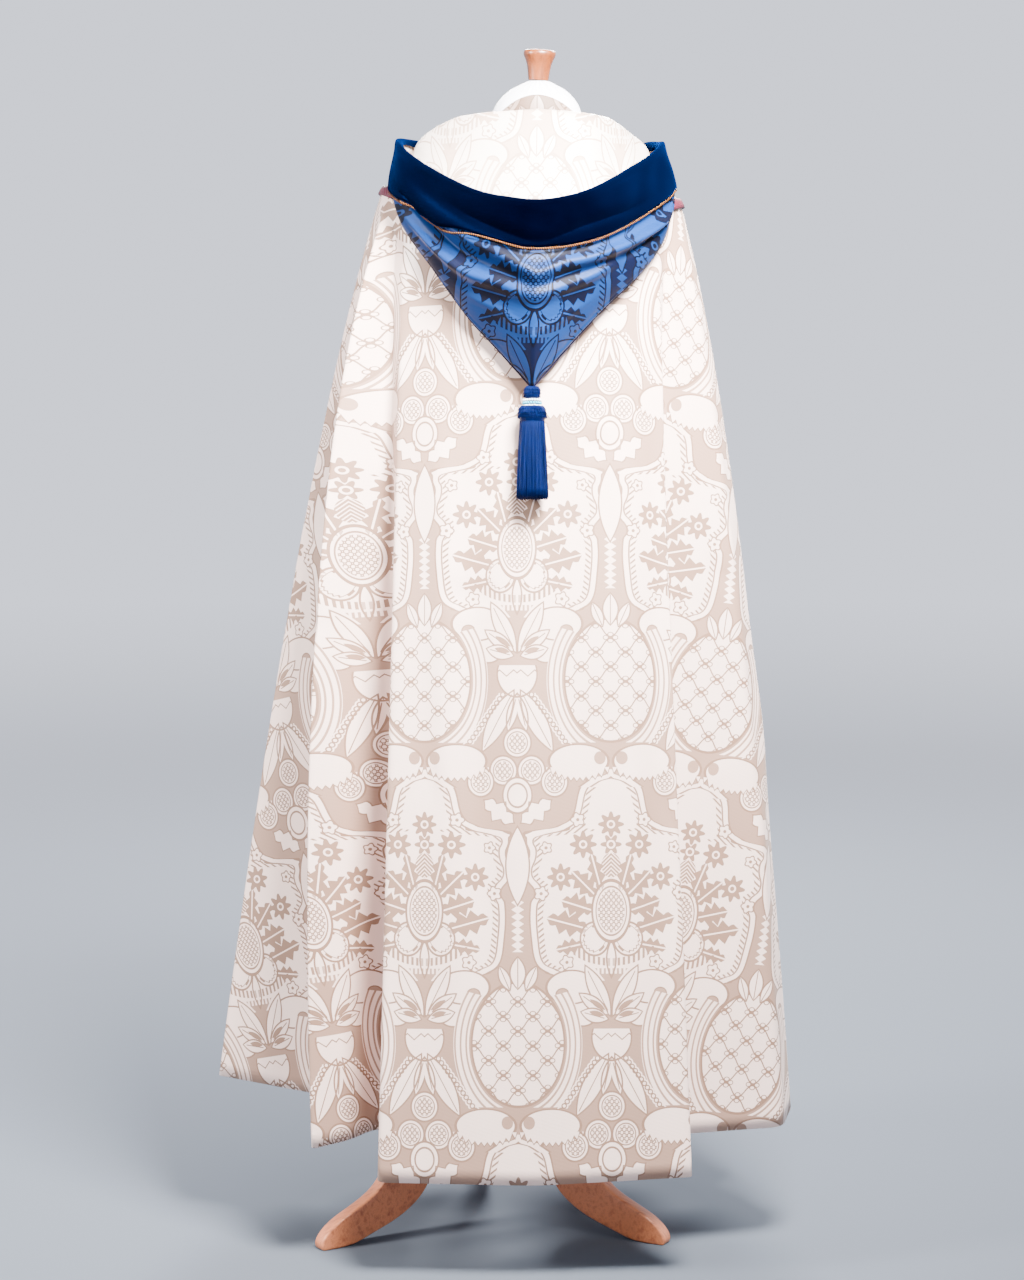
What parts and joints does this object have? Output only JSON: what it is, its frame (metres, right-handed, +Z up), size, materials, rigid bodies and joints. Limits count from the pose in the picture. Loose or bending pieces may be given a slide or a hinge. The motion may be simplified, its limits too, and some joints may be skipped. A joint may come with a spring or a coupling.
{
  "type": "hooded cope on a tripod dress form",
  "caption": "Ivory damask cope with a pointed blue damask hood, velvet turned-back band and tassel, open at the front, draped on a limbless dress form with a wooden tripod.",
  "frame": {"origin": "on the floor under the middle of the part's bounding box", "axes": "+Z up; -Y is the cope's back with the hood, which the picture shows; +Y is its open front; +X is on the right as the back is looked at"},
  "size_m": [0.7813, 0.587, 1.5998],
  "materials": {
    "ivory_damask": "ivory and cream silk damask with a satin figure",
    "cream_lining": "cream silk damask lining",
    "blue_damask": "blue silk damask, light figure with dark outlines",
    "blue_velvet": "dark blue velvet pile",
    "red_gold_cord": "twisted cord of red and gold thread",
    "burgundy_braid": "matt woven braid",
    "blue_silk": "dark blue silk thread",
    "white_jersey": "white cotton jersey over padding",
    "honey_wood": "satin varnish, honey coloured",
    "red_wood": "satin varnish, reddish brown"
  },
  "bodies": {
    "root": {"cope_left": "ivory_damask", "cope_back": "ivory_damask", "cope_right": "ivory_damask", "neckband": "ivory_damask", "hood_lining": "cream_lining", "hood": "blue_damask", "orphrey_left": "blue_damask", "orphrey_right": "blue_damask", "hood_band": "blue_velvet", "morse": "blue_velvet", "hood_piping": "red_gold_cord", "braid_left": "burgundy_braid", "braid_right": "burgundy_braid", "tassel_head": "blue_silk", "tassel_skirt": "blue_silk", "form_torso": "white_jersey", "finial": "honey_wood", "pole": "red_wood", "hub": "red_wood", "leg_left": "red_wood", "leg_right": "red_wood", "leg_back": "red_wood"}
  },
  "joints": []
}
